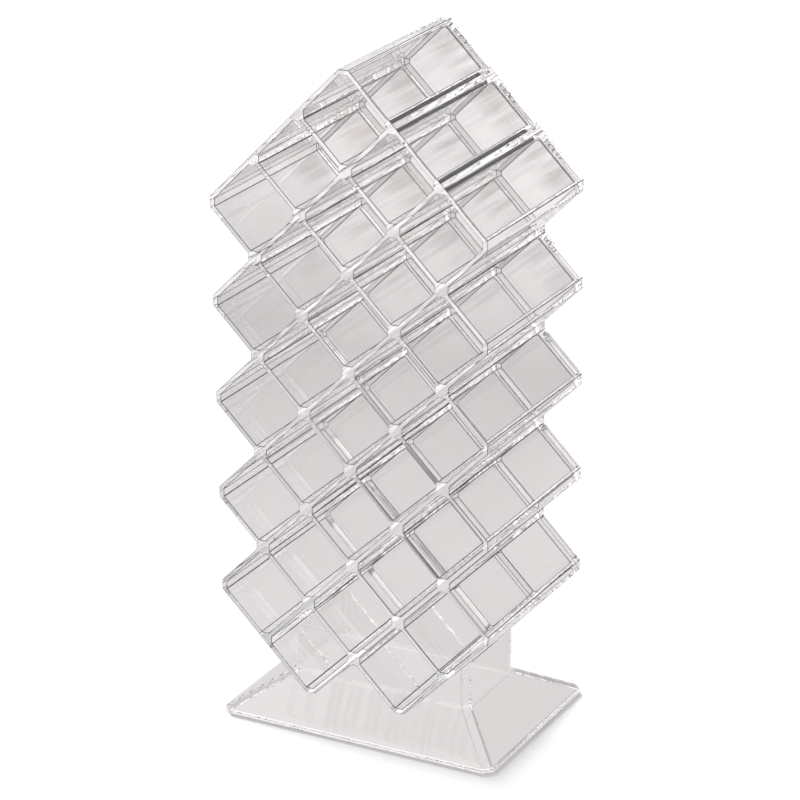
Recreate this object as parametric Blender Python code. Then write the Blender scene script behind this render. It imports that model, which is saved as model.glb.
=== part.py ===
# A clear lipstick organizer: a tower of square pockets turned on edge, standing in a
# hollow flared foot. The front faces -Y, +Z is up, and the origin is on the table under
# the middle of the foot. All lengths are in metres.

import math

import bmesh
import bpy
from mathutils import Vector

for old in list(bpy.data.objects):
    bpy.data.objects.remove(old, do_unlink=True)


# Tower
# Pockets in each row from the top down. Each row sits in the valleys of its neighbours.
POCKETS_PER_ROW = (1, 2, 3, 2, 3, 2, 3, 2, 3, 2, 3, 2)
POCKET_CLEAR = 0.0252  # clear width between opposite walls at the mouth
POCKET_DEPTH = 0.0751  # mouth to back wall
POCKET_DRAFT = 0.0002  # each side of a pocket has closed in this much by the back
POCKET_CORNER_FLAT = 0.0030  # flat that fills each inside corner of a pocket
FLOOR_CHAMFER = 0.0015  # leg of the chamfer round each pocket's floor
WALL = 0.0018  # wall at the mouth, shared by neighbouring pockets
BACK_WALL = 0.0030
TIP_FLAT = 0.0040  # flat across each outside corner of the tower
VALLEY_FLAT = 0.0030  # flat across each re-entrant corner of the tower

# Foot
RIM_MARGIN = 0.0013  # rim beyond the tower's widest flats and its front and back
RIM_HEIGHT = 0.0014  # upright rim at the table
RIM_CORNER = 0.0033  # leg of the corner chamfer at the table
FOOT_WALL = 0.0018
SKIRT_RISE = 0.0125  # from the rim up to the neck
SKIRT_FILLET = 0.0030  # radius where the skirt turns up into the neck
NECK_DEPTH = 0.0392
NECK_CORNER = 0.0028  # leg of the neck's corner chamfer
NECK_STOCK = 0.0038  # uncut neck above the tower's lowest hollows, for the notches to take
VEE_LIFT = 0.0023  # tower's lowest flats above the top of the skirt
FILLET_STEPS = 4

# Fit
SEAT_GAP = 0.0003  # all round the tower where it rests in the neck
MOUTH_RUNOUT = 0.0010  # how far the pocket cores pass the front face

# Clear polystyrene, the same in both mouldings
TINT = (0.93, 0.92, 0.915)
REFRACTIVE_INDEX = 1.59
ROUGHNESS = 0.05

PITCH = POCKET_CLEAR + WALL
HALF = PITCH / math.sqrt(2)  # from a pocket's centre to its corner, on the wall centres
TOWER_DEPTH = POCKET_DEPTH + BACK_WALL
FRONT = -TOWER_DEPTH / 2
BACK = TOWER_DEPTH / 2
ROWS = len(POCKETS_PER_ROW)
BOTTOM_ROW = POCKETS_PER_ROW[-1]


def corner_points(points):
    """The points where the outline turns: those on a straight run are left out."""
    count = len(points)
    kept = []
    for index, point in enumerate(points):
        before = point - points[index - 1]
        after = points[(index + 1) % count] - point
        if abs(before.x * after.y - before.y * after.x) > 1e-9:
            kept.append(point)
    return kept


def offset_outline(points, distance):
    """The outline moved out square to each side. The points run anticlockwise."""
    count = len(points)
    moved = []
    for index, point in enumerate(points):
        before = (point - points[index - 1]).normalized()
        after = (points[(index + 1) % count] - point).normalized()
        out_before = Vector((before.y, -before.x))
        out_after = Vector((after.y, -after.x))
        middle = (out_before + out_after) / (1 + out_before.dot(out_after))
        moved.append(point + middle * distance)
    return moved


def flatten_corners(points, convex_flat, concave_flat):
    """The outline with a flat of the given width across each corner."""
    count = len(points)
    cut = []
    for index, point in enumerate(points):
        before = (point - points[index - 1]).normalized()
        after = (points[(index + 1) % count] - point).normalized()
        turn = before.x * after.y - before.y * after.x
        flat = convex_flat if turn > 0 else concave_flat
        leg = flat / (before + after).length
        cut.append(point - before * leg)
        cut.append(point + after * leg)
    return cut


def pocket_centres():
    """Each pocket's centre in the tower's own frame, with the lowest corners at zero."""
    centres = []
    for row, pockets in enumerate(POCKETS_PER_ROW, start=1):
        for place in range(pockets):
            across = (2 * place - pockets + 1) * HALF
            centres.append(Vector((across, (ROWS + 1 - row) * HALF)))
    return centres


def tower_outline():
    """The tower's outer outline, anticlockwise from its top corner."""
    left = [Vector((0, (ROWS + 1) * HALF))]
    for row, pockets in enumerate(POCKETS_PER_ROW, start=1):
        left.append(Vector((-pockets * HALF, (ROWS + 1 - row) * HALF)))
    under = []
    for place in range(2 * BOTTOM_ROW - 1):
        across = (place - BOTTOM_ROW + 1) * HALF
        under.append(Vector((across, (place % 2) * HALF)))
    right = [Vector((-point.x, point.y)) for point in reversed(left[1:])]
    walls = offset_outline(corner_points(left + under + right), WALL / 2)
    return flatten_corners(walls, TIP_FLAT, VALLEY_FLAT)


def pocket_outline(centre, shrink):
    """One pocket's square, standing on a corner, with its corners filled by flats."""
    reach = POCKET_CLEAR / math.sqrt(2)
    square = [
        centre + Vector((0, -reach)),
        centre + Vector((reach, 0)),
        centre + Vector((0, reach)),
        centre + Vector((-reach, 0)),
    ]
    return offset_outline(flatten_corners(square, POCKET_CORNER_FLAT, 0), -shrink)


def core_sections(centre):
    """One pocket's core: past the mouth, where the walls end, and at the floor."""
    sections = []
    wall_end = POCKET_DEPTH - FLOOR_CHAMFER
    for depth, chamfer in ((-MOUTH_RUNOUT, 0), (wall_end, 0), (POCKET_DEPTH, FLOOR_CHAMFER)):
        shrink = POCKET_DRAFT * depth / POCKET_DEPTH + chamfer
        sections.append((pocket_outline(centre, shrink), FRONT + depth))
    return sections


def chamfered_rectangle(width, depth, corner):
    """A rectangle about the origin with its corners cut off."""
    x = width / 2
    y = depth / 2
    quarter = [Vector((x, y - corner)), Vector((x - corner, y))]
    ring = []
    for sign_x, sign_y in ((1, 1), (-1, 1), (-1, -1), (1, -1)):
        side = [Vector((sign_x * point.x, sign_y * point.y)) for point in quarter]
        ring += side if sign_x * sign_y > 0 else side[::-1]
    return ring


def add_sleeve(mesh, rings):
    """A sheet through a stack of rings of points, open at both ends."""
    loops = [[mesh.verts.new(point) for point in ring] for ring in rings]
    for near, far in zip(loops, loops[1:]):
        for index in range(len(near)):
            ahead = (index + 1) % len(near)
            mesh.faces.new((near[index], near[ahead], far[ahead], far[index]))
    return loops


def add_block(mesh, sections):
    """A closed solid through outlines in XZ planes, each given with its depth."""
    rings = [[(point.x, depth, point.y) for point in outline] for outline, depth in sections]
    loops = add_sleeve(mesh, rings)
    mesh.faces.new(loops[0])
    mesh.faces.new(loops[-1][::-1])


def finish_object(name, mesh, material=None, parent=None, location=(0, 0, 0)):
    bmesh.ops.recalc_face_normals(mesh, faces=mesh.faces)
    data = bpy.data.meshes.new(name)
    mesh.to_mesh(data)
    mesh.free()
    item = bpy.data.objects.new(name, data)
    item.location = location
    item.parent = parent
    if material:
        data.materials.append(material)
    bpy.context.scene.collection.objects.link(item)
    return item


def cut_away(target, cutter):
    cutter.hide_render = True
    cutter.display_type = "WIRE"
    modifier = target.modifiers.new("cut_" + cutter.name, "BOOLEAN")
    modifier.operation = "DIFFERENCE"
    modifier.solver = "EXACT"
    modifier.object = cutter


def clear_plastic(name):
    material = bpy.data.materials.new(name)
    material.use_nodes = True
    shader = material.node_tree.nodes["Principled BSDF"]
    shader.inputs["Base Color"].default_value = (*TINT, 1)
    shader.inputs["Roughness"].default_value = ROUGHNESS
    shader.inputs["Metallic"].default_value = 0.0
    shader.inputs["IOR"].default_value = REFRACTIVE_INDEX
    shader.inputs["Transmission Weight"].default_value = 1.0
    return material


# The foot is a sheet lofted from the rim, over the skirt and up the neck, and thickened
# inwards.
outline = tower_outline()
lowest_flat = min(point.y for point in outline)
foot_width = 2 * (max(point.x for point in outline) + RIM_MARGIN)
foot_depth = TOWER_DEPTH + 2 * RIM_MARGIN
skirt_top = RIM_HEIGHT + SKIRT_RISE
tower_height_off_table = skirt_top + VEE_LIFT - lowest_flat
neck_width = 2 * BOTTOM_ROW * HALF  # its sides stand under the tower's lowest hollows
neck_top = tower_height_off_table + HALF + NECK_STOCK

# The skirt's slope, and the fillet where it meets the upright neck, as (height, how far
# along from the rim's size to the neck's size) pairs.
run = (foot_width - neck_width) / 2
slope = math.atan2(SKIRT_RISE, run)
tangent = SKIRT_FILLET * math.tan((math.pi / 2 - slope) / 2)
profile = [(0.0, 0.0), (RIM_HEIGHT, 0.0)]
for step in range(FILLET_STEPS + 1):
    angle = slope + (math.pi / 2 - slope) * step / FILLET_STEPS
    height = skirt_top + tangent - SKIRT_FILLET * math.cos(angle)
    inward = run + SKIRT_FILLET * (math.sin(angle) - 1)
    profile.append((height, inward / run))
profile.append((neck_top, 1.0))


def foot_ring(height, along):
    """The foot's outer section at a height."""
    width = foot_width + (neck_width - foot_width) * along
    depth = foot_depth + (NECK_DEPTH - foot_depth) * along
    corner = RIM_CORNER + (NECK_CORNER - RIM_CORNER) * along
    return [(point.x, point.y, height) for point in chamfered_rectangle(width, depth, corner)]


sheet = bmesh.new()
add_sleeve(sheet, [foot_ring(height, along) for height, along in profile])
foot = finish_object("foot", sheet, clear_plastic("clear_foot"))
wall = foot.modifiers.new("wall", "SOLIDIFY")
wall.thickness = FOOT_WALL
wall.offset = -1
wall.use_even_offset = True
wall.use_quality_normals = True

# The tower is one block with the outline of all the pockets, cored out from the front.
block = bmesh.new()
add_block(block, [(outline, FRONT), (outline, BACK)])
tower = finish_object(
    "tower",
    block,
    clear_plastic("clear_tower"),
    parent=foot,
    location=(0, 0, tower_height_off_table),
)

cores = bmesh.new()
for centre in pocket_centres():
    add_block(cores, core_sections(centre))
cut_away(tower, finish_object("pocket_cores", cores, parent=tower))

# The neck's walls are notched to the tower's own underside, a seat gap larger, so that
# the tower drops in from above and its lower corners hang between the walls.
seat = bmesh.new()
seat_outline = offset_outline(outline, SEAT_GAP)
add_block(seat, [(seat_outline, FRONT), (seat_outline, BACK)])
cut_away(foot, finish_object("tower_seat", seat, location=tower.location))
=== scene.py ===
import math

import bmesh
import bpy
from mathutils import Matrix, Vector


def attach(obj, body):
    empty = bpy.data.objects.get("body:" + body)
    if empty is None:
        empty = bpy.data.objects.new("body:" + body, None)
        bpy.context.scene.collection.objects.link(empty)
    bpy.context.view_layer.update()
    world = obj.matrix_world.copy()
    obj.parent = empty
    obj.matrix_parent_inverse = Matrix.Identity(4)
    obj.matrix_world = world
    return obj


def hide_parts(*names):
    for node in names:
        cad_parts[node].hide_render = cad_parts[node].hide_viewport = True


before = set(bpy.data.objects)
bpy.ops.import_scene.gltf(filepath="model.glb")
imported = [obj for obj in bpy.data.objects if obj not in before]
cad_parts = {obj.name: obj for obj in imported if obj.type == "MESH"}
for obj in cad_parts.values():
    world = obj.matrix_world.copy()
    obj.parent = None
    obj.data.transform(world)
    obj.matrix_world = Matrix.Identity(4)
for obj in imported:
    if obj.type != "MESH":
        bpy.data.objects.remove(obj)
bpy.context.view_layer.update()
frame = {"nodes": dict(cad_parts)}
print("frame loaded:", ", ".join(frame["nodes"]))


def linearColour(hexCode):
    # sRGB hex to linear red, green, blue and alpha
    values = [int(hexCode[place:place + 2], 16) / 255 for place in (1, 3, 5)]
    values = [v / 12.92 if v <= 0.04045 else ((v + 0.055) / 1.055) ** 2.4 for v in values]
    return (*values, 1.0)


def addNode(tree, kind, settings=None, links=None):
    # one node: settings sets its properties and sockets, links feeds its inputs, each
    # by name or by number
    node = tree.nodes.new(kind)
    for name, value in (settings or {}).items():
        if isinstance(name, str) and hasattr(node, name):
            setattr(node, name, value)
        else:
            node.inputs[name].default_value = value
    for name, source in (links or {}).items():
        tree.links.new(source, node.inputs[name])
    return node


def setStops(ramp, stops):
    # the ramp's greys, each given with its position
    elements = ramp.color_ramp.elements
    while len(elements) < len(stops):
        elements.new(1.0)
    for element, (position, brightness) in zip(elements, stops):
        element.position = position
        element.color = (brightness, brightness, brightness, 1)


def eitherRay(tree, first, second):
    # 1 for rays of either kind, by their names in the Light Path node
    path = addNode(tree, "ShaderNodeLightPath")
    either = addNode(tree, "ShaderNodeMath", {"operation": "MAXIMUM"}, {
        0: path.outputs[first],
        1: path.outputs[second],
    })
    return either.outputs["Value"]


# Injection moulded clear polystyrene, the same in both pieces: water clear with the
# faintest warm tint, glossy from a polished steel mould, index of refraction 1.59.
plastic = {
    "ior": 1.59,
    "roughness": 0.01,
    "edgeShadow": "#FEFEFE",
    "edgeSegments": 2,
    "edgeAngle": 20,  # degrees; edges sharper than this are rounded
    "mergeDistance": 2e-6,
    "flatAngle": 2,  # degrees; flatter edges between the node's triangles are dissolved
}

# Darker streaks along the walls of the upper pockets, some 3 to 4 mm apart and towards the back.
# They are taken for draw marks of the long cores; they could be reflections.
#
# The rounded edges of both pieces get a tint of their own, darkest on the tower: painted
# shade along the edges. This stands in for the thin dark lines that they show in the
# photograph, and it stays as dark from every side.
towerLooks = {
    "tintAndPaintedShade": "#FFFEFE",
    # painted shade: the tower's rounded edges tinted nearly black
    "paintedEdgeShade": "#141313",
    "edgeRadius": 0.00019,
    "shadow": "#FEFEFE",  # what each surface leaves of the lamp's light that goes through
    "streakColour": "#DAD5D5",
    "markWidth": 0.0035,
    "markLength": 0.070,
    "markDetail": 3.0,
    "markFaint": 0.62,  # the noise's value where a streak begins and where it is full
    "markStrong": 0.36,
    "markStart": 0.010,  # how far back in the tower the marks begin and are full
    "markFull": 0.022,
    "markEnd": 0.0343,  # the chamfers round the pocket floors
    "markBottom": 0.150,  # how high up they begin and are full
    "markTop": 0.190,
}

# The foot has no streaks, and its tint is a little greyer than the tower's: painted shade,
# as the foot stands in its own shade. Its skirt holds back part of the lamp's light, which
# makes the contact shadow.
footLooks = {
    # painted shade: a greyer copy of the tower's clear plastic
    "tintAndPaintedShade": "#FBF9F9",
    # painted shade: the foot's rounded edges tinted grey
    "paintedEdgeShade": "#CCC9C9",
    "edgeRadius": 0.00007,  # under half of the lowest face inside the rim, 0.32 mm high
    "shadow": "#BCBABA",
    "skirtHeight": 0.0145,  # above this the foot lets the light through
}


def streakStrength(tree, looks, coords, place):
    # how strongly the streaks show at a point, 0 to 1
    width = 1 / looks["markWidth"]
    length = 1 / looks["markLength"]
    alongDepth = addNode(tree, "ShaderNodeMapping", {"Scale": (width, length, width)}, {
        "Vector": coords.outputs["Object"],
    })
    marks = addNode(tree, "ShaderNodeTexNoise", {"Scale": 1.0, "Detail": looks["markDetail"]}, {
        "Vector": alongDepth.outputs["Vector"],
    })
    shown = addNode(tree, "ShaderNodeMapRange", {
        "From Min": looks["markFaint"],
        "From Max": looks["markStrong"],
    }, {"Value": marks.outputs["Fac"]}).outputs["Result"]
    deep = addNode(tree, "ShaderNodeMapRange", {
        "From Min": looks["markStart"],
        "From Max": looks["markFull"],
    }, {"Value": place.outputs["Y"]})
    high = addNode(tree, "ShaderNodeMapRange", {
        "From Min": looks["markBottom"],
        "From Max": looks["markTop"],
    }, {"Value": place.outputs["Z"]})
    onWall = addNode(tree, "ShaderNodeMath", {"operation": "LESS_THAN", 1: looks["markEnd"]}, {
        0: place.outputs["Y"],
    })
    for limit in (deep.outputs["Result"], high.outputs["Result"], onWall.outputs["Value"]):
        product = addNode(tree, "ShaderNodeMath", {"operation": "MULTIPLY"}, {0: shown, 1: limit})
        shown = product.outputs["Value"]
    return shown


def makeClearPlastic(name, looks):
    # looks with a streak colour get darker streaks along the depth, and those with a skirtHeight
    # cast their shadow only up to there
    material = bpy.data.materials.new(name)
    material.use_nodes = True
    tree = material.node_tree
    tree.nodes.clear()
    coords = addNode(tree, "ShaderNodeTexCoord")
    place = addNode(tree, "ShaderNodeSeparateXYZ", links={"Vector": coords.outputs["Object"]})
    shader = addNode(tree, "ShaderNodeBsdfPrincipled", {
        "Base Color": linearColour(looks["tintAndPaintedShade"]),
        "Roughness": plastic["roughness"],
        "IOR": plastic["ior"],
        "Transmission Weight": 1.0,
    })
    through = addNode(tree, "ShaderNodeBsdfTransparent", {"Color": linearColour(looks["shadow"])})
    if "streakColour" in looks:
        colour = addNode(tree, "ShaderNodeMix", {
            "data_type": "RGBA",
            6: linearColour(looks["tintAndPaintedShade"]),
            7: linearColour(looks["streakColour"]),
        }, {0: streakStrength(tree, looks, coords, place)})
        tree.links.new(colour.outputs[2], shader.inputs["Base Color"])
    if "skirtHeight" in looks:
        above = addNode(tree, "ShaderNodeMath", {
            "operation": "GREATER_THAN",
            1: looks["skirtHeight"],
        }, {0: place.outputs["Z"]})
        shade = addNode(tree, "ShaderNodeMix", {
            "data_type": "RGBA",
            6: linearColour(looks["shadow"]),
            7: (1, 1, 1, 1),
        }, {0: above.outputs["Value"]})
        tree.links.new(shade.outputs[2], through.inputs["Color"])
    mix = addNode(tree, "ShaderNodeMixShader", links={
        0: eitherRay(tree, "Is Shadow Ray", "Is Diffuse Ray"),
        1: shader.outputs["BSDF"],
        2: through.outputs["BSDF"],
    })
    addNode(tree, "ShaderNodeOutputMaterial", links={"Surface": mix.outputs["Shader"]})
    return material


def roundedCopy(nodeName, pieceName, materialName, looks):
    # the node's own shape with its triangles merged and its sharp edges rounded
    work = bmesh.new()
    work.from_mesh(frame["nodes"][nodeName].data)
    bmesh.ops.remove_doubles(work, verts=work.verts, dist=plastic["mergeDistance"])
    flat = math.radians(plastic["flatAngle"])
    bmesh.ops.dissolve_limit(work, angle_limit=flat, verts=work.verts, edges=work.edges)
    points = [vertex.co.copy() for vertex in work.verts]
    faces = [[vertex.index for vertex in face.verts] for face in work.faces]
    work.free()
    mesh = bpy.data.meshes.new(pieceName)
    mesh.from_pydata(points, [], faces)
    # the rounded edges get a second material with their own dark tint: painted shade
    paintedEdgeLooks = {"tintAndPaintedShade": looks["paintedEdgeShade"], "shadow": plastic["edgeShadow"]}
    mesh.materials.append(makeClearPlastic(materialName, looks))
    mesh.materials.append(makeClearPlastic(materialName + "Edge", paintedEdgeLooks))
    piece = bpy.data.objects.new(pieceName, mesh)
    bpy.context.scene.collection.objects.link(piece)
    bevel = piece.modifiers.new("mouldedEdges", "BEVEL")
    bevel.width = looks["edgeRadius"]
    bevel.segments = plastic["edgeSegments"]
    bevel.limit_method = "ANGLE"
    bevel.angle_limit = math.radians(plastic["edgeAngle"])
    bevel.material = 1
    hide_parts(nodeName)
    return piece


tower = roundedCopy("tower", "pocketTower", "clearPolystyreneTower", towerLooks)
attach(tower, "tower")
foot = roundedCopy("foot", "flaredFoot", "clearPolystyreneFoot", footLooks)
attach(foot, "foot")
print("clear plastic pieces made")

# The camera: fitted to the pocket corners in the photograph
view = {
    "azimuth": 28.5505,  # degrees from the front, towards the right
    "elevation": 21.5620,
    "roll": -0.6658,
    "place": (0.55541, -1.02097, 0.58439),
    "lens": 150.318,  # millimetres
    "sensor": 36,
}
azimuth, elevation, roll = (math.radians(view[key]) for key in ("azimuth", "elevation", "roll"))
ahead = (-math.sin(azimuth) * math.cos(elevation), math.cos(azimuth) * math.cos(elevation))
forward = Vector((*ahead, -math.sin(elevation)))
level = forward.cross(Vector((0, 0, 1))).normalized()
upright = level.cross(forward)
right = math.cos(roll) * level + math.sin(roll) * upright
up = math.cos(roll) * upright - math.sin(roll) * level
cameraData = bpy.data.cameras.new("studioCamera")
cameraData.lens = view["lens"]
cameraData.sensor_width = view["sensor"]
camera = bpy.data.objects.new("studioCamera", cameraData)
turn = Matrix((right, up, -forward)).transposed().to_4x4()
camera.matrix_world = Matrix.Translation(view["place"]) @ turn
bpy.context.scene.collection.objects.link(camera)
bpy.context.scene.camera = camera

# A white table and a white sky to the eye. In the plastic the table glows, though it is no
# lamp, pale grey with painted light and shade: bright far in front and a little brighter far
# behind, with a painted shadow under the foot. These values are fitted to the photograph.
tableLooks = {
    "paper": "#FFFFFF",
    "halfSize": 6.0,
    "drop": 0.00005,  # below the foot, so that the two don't share a plane
    "glow": "#FFFCFC",
    # its glow at distances back from the middle, in metres, on each side: painted light and shade
    "left": [
        (-0.60, 1.90), (-0.34, 1.60), (-0.26, 0.64), (0.04, 0.75),
        (0.15, 0.72), (0.34, 0.58), (0.60, 0.85),
    ],
    "right": [
        (-0.60, 1.80), (-0.30, 1.05), (-0.04, 0.77), (0.20, 0.73), (0.32, 0.84), (0.60, 0.93),
    ],
    "reach": 0.65,
    "leftEnd": -0.08,  # metres across, where the left side ends and the right side begins
    "rightStart": -0.02,
    # painted shadow: the table's glow under the foot
    "paintedShadowUnderFoot": 0.76,
    "footHalfWidth": 0.0578,
    "footHalfDepth": 0.0403,
    "footFade": 1.1,  # half sizes of the foot at which the painted shadow under it has given way to the brightness around it
}
tableMesh = bpy.data.meshes.new("studioTable")
side = tableLooks["halfSize"]
corners = [(-side, -side, 0), (side, -side, 0), (side, side, 0), (-side, side, 0)]
tableMesh.from_pydata(corners, [], [(0, 1, 2, 3)])
table = bpy.data.objects.new("studioTable", tableMesh)
table.location.z = -tableLooks["drop"]
bpy.context.scene.collection.objects.link(table)
# the table's material: white paper to the eye, and a painted glow to rays the plastic mirrors and
# bends
paper = bpy.data.materials.new("whitePaperWithPaintedGlow")
paper.use_nodes = True
tree = paper.node_tree
tree.nodes.clear()
coords = addNode(tree, "ShaderNodeTexCoord")
place = addNode(tree, "ShaderNodeSeparateXYZ", links={"Vector": coords.outputs["Object"]})
depth = addNode(tree, "ShaderNodeMapRange", {
    "From Min": -tableLooks["reach"],
    "From Max": tableLooks["reach"],
}, {"Value": place.outputs["Y"]})
sides = []
for stops in (tableLooks["left"], tableLooks["right"]):
    ramp = addNode(tree, "ShaderNodeValToRGB", links={"Fac": depth.outputs["Result"]})
    setStops(ramp, [(0.5 + 0.5 * back / tableLooks["reach"], value) for back, value in stops])
    sides.append(ramp.outputs["Color"])
towardsRight = addNode(tree, "ShaderNodeMapRange", {
    "From Min": tableLooks["leftEnd"],
    "From Max": tableLooks["rightStart"],
}, {"Value": place.outputs["X"]})
depthwise = addNode(tree, "ShaderNodeMix", {"data_type": "FLOAT"}, {
    0: towardsRight.outputs["Result"],
    2: sides[0],
    3: sides[1],
})
# how far out from the middle, in half sizes of the foot
spans = []
for axis, halfSize in (("X", tableLooks["footHalfWidth"]), ("Y", tableLooks["footHalfDepth"])):
    share = addNode(tree, "ShaderNodeMath", {"operation": "DIVIDE", 1: halfSize}, {
        0: place.outputs[axis],
    })
    span = addNode(tree, "ShaderNodeMath", {"operation": "ABSOLUTE"}, {0: share.outputs["Value"]})
    spans.append(span.outputs["Value"])
outwards = addNode(tree, "ShaderNodeMath", {"operation": "MAXIMUM"}, {0: spans[0], 1: spans[1]})
outside = addNode(tree, "ShaderNodeMapRange", {
    "From Min": 1.0,
    "From Max": tableLooks["footFade"],
}, {"Value": outwards.outputs["Value"]})
# the glow: a painted shadow under the foot, and painted light and shade by distance around it
glowLevel = addNode(tree, "ShaderNodeMix", {
    "data_type": "FLOAT",
    2: tableLooks["paintedShadowUnderFoot"],
}, {0: outside.outputs["Result"], 3: depthwise.outputs[0]})
matte = addNode(tree, "ShaderNodeBsdfDiffuse", {"Color": linearColour(tableLooks["paper"])})
glow = addNode(tree, "ShaderNodeEmission", {"Color": linearColour(tableLooks["glow"])}, {
    "Strength": glowLevel.outputs[0],
})
mix = addNode(tree, "ShaderNodeMixShader", links={
    0: eitherRay(tree, "Is Glossy Ray", "Is Transmission Ray"),
    1: matte.outputs["BSDF"],
    2: glow.outputs["Emission"],
})
addNode(tree, "ShaderNodeOutputMaterial", links={"Surface": mix.outputs["Shader"]})
tableMesh.materials.append(paper)
print("table laid")

# One soft lamp, low down behind on the left. It leaves the shadow along the front and
# right edges of the foot.
lamp = {
    "power": 4.9,  # watts per square metre
    "spread": 10.0,  # degrees across, for a soft shadow
    "azimuth": 46.0,  # degrees from straight behind, towards the left
    "elevation": 23.0,
}
lampData = bpy.data.lights.new("softLamp", "SUN")
lampData.energy = lamp["power"]
lampData.angle = math.radians(lamp["spread"])
lampObject = bpy.data.objects.new("softLamp", lampData)
lampAzimuth = math.radians(lamp["azimuth"])
lampHeight = math.radians(lamp["elevation"])
towardsLamp = Vector((
    -math.sin(lampAzimuth) * math.cos(lampHeight),
    math.cos(lampAzimuth) * math.cos(lampHeight),
    math.sin(lampHeight),
))
lampObject.rotation_mode = "QUATERNION"
lampObject.rotation_quaternion = towardsLamp.to_track_quat("Z", "Y")
lampObject.visible_glossy = False
lampObject.visible_transmission = False
bpy.context.scene.collection.objects.link(lampObject)

# The sky is white to the eye. What the plastic mirrors and bends is bright screens in
# front, a pale room, and cards behind: a black one with a grey one above it in the
# middle, and a dim strip low down with a black card above its left half.
skyLooks = {
    "light": 0.45,  # on the table
    "room": 1.05,
    "screens": 0.60,  # added in front
    "screensStart": 0.2,  # how far back a direction points where they begin and are full
    "screensFull": -0.3,
    # each card's start and end, in degrees from straight behind towards the right, and its
    # brightness at the sines of elevations
    "cards": [
        (-24, 50, [(0.34, 0.02), (0.39, 0.58), (0.62, 0.52), (0.64, 1.05)]),
        (-60, -42, [
            (0.09, 0.45), (0.11, 1.05), (0.40, 1.05), (0.41, 0.05), (0.54, 0.05), (0.55, 1.05),
        ]),
        (-42, -24, [(0.09, 0.45), (0.11, 1.05)]),
    ],
}
world = bpy.data.worlds.new("studioSky")
bpy.context.scene.world = world
world.use_nodes = True
sky = world.node_tree
sky.nodes.clear()
coords = addNode(sky, "ShaderNodeTexCoord")
split = addNode(sky, "ShaderNodeSeparateXYZ", links={"Vector": coords.outputs["Generated"]})
around = addNode(sky, "ShaderNodeMath", {"operation": "ARCTAN2"}, {
    0: split.outputs["X"],
    1: split.outputs["Y"],
})
room = addNode(sky, "ShaderNodeValue")
room.outputs[0].default_value = skyLooks["room"]
for start, end, stops in skyLooks["cards"]:
    card = addNode(sky, "ShaderNodeValToRGB", links={"Fac": split.outputs["Z"]})
    setStops(card, stops)
    middle = math.radians(start + end) / 2
    onCard = addNode(sky, "ShaderNodeMath", {
        "operation": "COMPARE",
        1: middle,
        2: math.radians(end) - middle,
    }, {0: around.outputs["Value"]})
    room = addNode(sky, "ShaderNodeMix", {"data_type": "FLOAT"}, {
        0: onCard.outputs["Value"],
        2: room.outputs[0],
        3: card.outputs["Color"],
    })
screens = addNode(sky, "ShaderNodeMapRange", {
    "interpolation_type": "SMOOTHSTEP",
    "From Min": skyLooks["screensStart"],
    "From Max": skyLooks["screensFull"],
    "To Min": 0.0,
    "To Max": skyLooks["screens"],
}, {"Value": split.outputs["Y"]})
mirrored = addNode(sky, "ShaderNodeMath", {"operation": "ADD"}, {
    0: room.outputs[0],
    1: screens.outputs["Result"],
})
lit = addNode(sky, "ShaderNodeMix", {"data_type": "FLOAT", 2: skyLooks["light"]}, {
    0: eitherRay(sky, "Is Glossy Ray", "Is Transmission Ray"),
    3: mirrored.outputs["Value"],
})
path = addNode(sky, "ShaderNodeLightPath")
seen = addNode(sky, "ShaderNodeMix", {"data_type": "FLOAT", 3: 1.0}, {
    0: path.outputs["Is Camera Ray"],
    2: lit.outputs[0],
})
background = addNode(sky, "ShaderNodeBackground", {"Color": (1, 1, 1, 1)}, {
    "Strength": seen.outputs[0],
})
addNode(sky, "ShaderNodeOutputWorld", links={"Surface": background.outputs["Background"]})

# Enough bounces for many clear walls one behind another
bounces = 200
cycles = bpy.context.scene.cycles
cycles.max_bounces = bounces
cycles.transmission_bounces = bounces
cycles.glossy_bounces = bounces
cycles.transparent_max_bounces = 64

bpy.context.scene.view_settings.view_transform = "Standard"
print("studio and camera set")
